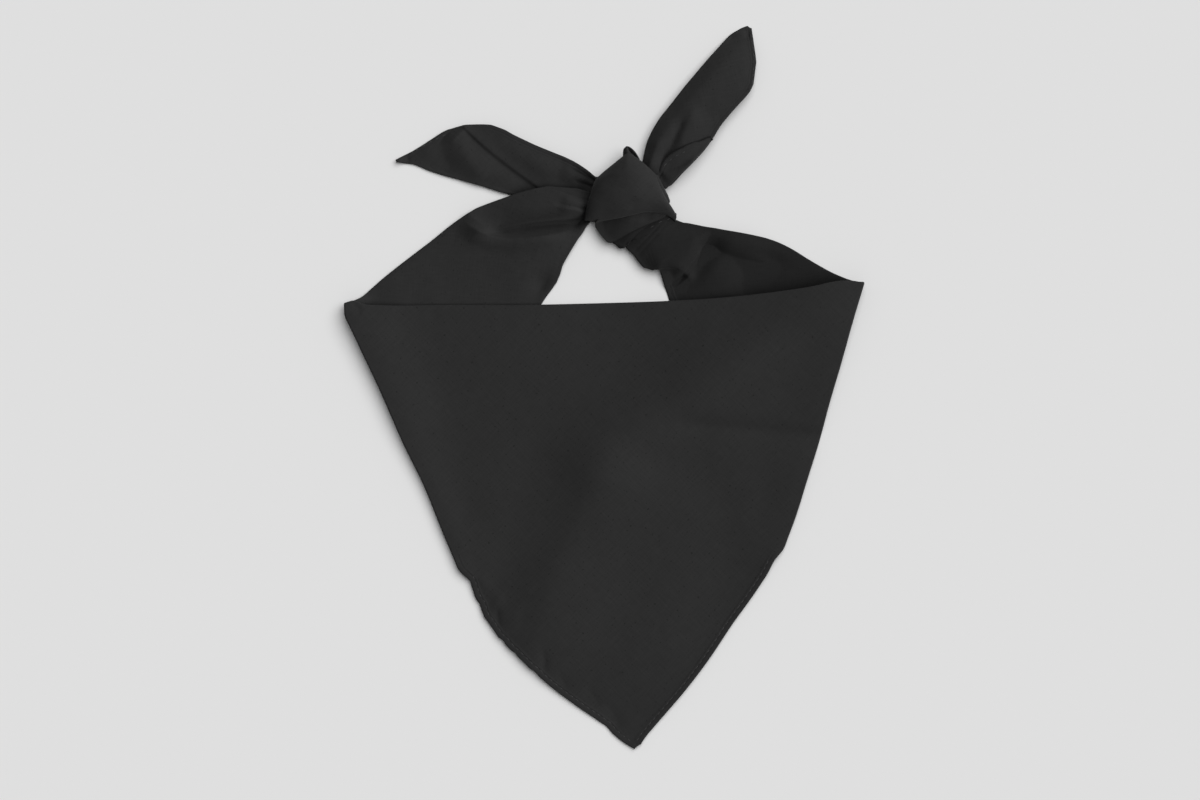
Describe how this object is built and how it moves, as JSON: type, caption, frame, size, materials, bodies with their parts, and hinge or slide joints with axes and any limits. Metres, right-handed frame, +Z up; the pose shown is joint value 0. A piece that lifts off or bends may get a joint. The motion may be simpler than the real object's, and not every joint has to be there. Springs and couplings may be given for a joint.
{
  "type": "bandana",
  "caption": "Square cotton bandana folded on the diagonal, tied at the back in a neck loop with a knot and two free tails, laid flat with its pointed front upwards.",
  "frame": {"origin": "middle of the bandana's outline as it lies, on the surface that it lies on", "axes": "+Z up from the surface, +Y from the front's point to the knot, +X to the right seen from above"},
  "size_m": [0.2337, 0.3266, 0.0182],
  "materials": {
    "black_cotton": "matt plain weave, washed black"
  },
  "bodies": {
    "root": {"bib": "black_cotton", "band_left": "black_cotton", "band_right": "black_cotton", "tail_left": "black_cotton", "tail_right": "black_cotton", "tail_right_flap": "black_cotton", "knot_core": "black_cotton", "knot_wrap": "black_cotton", "knot_side_fold": "black_cotton", "knot_loop": "black_cotton"}
  },
  "joints": []
}
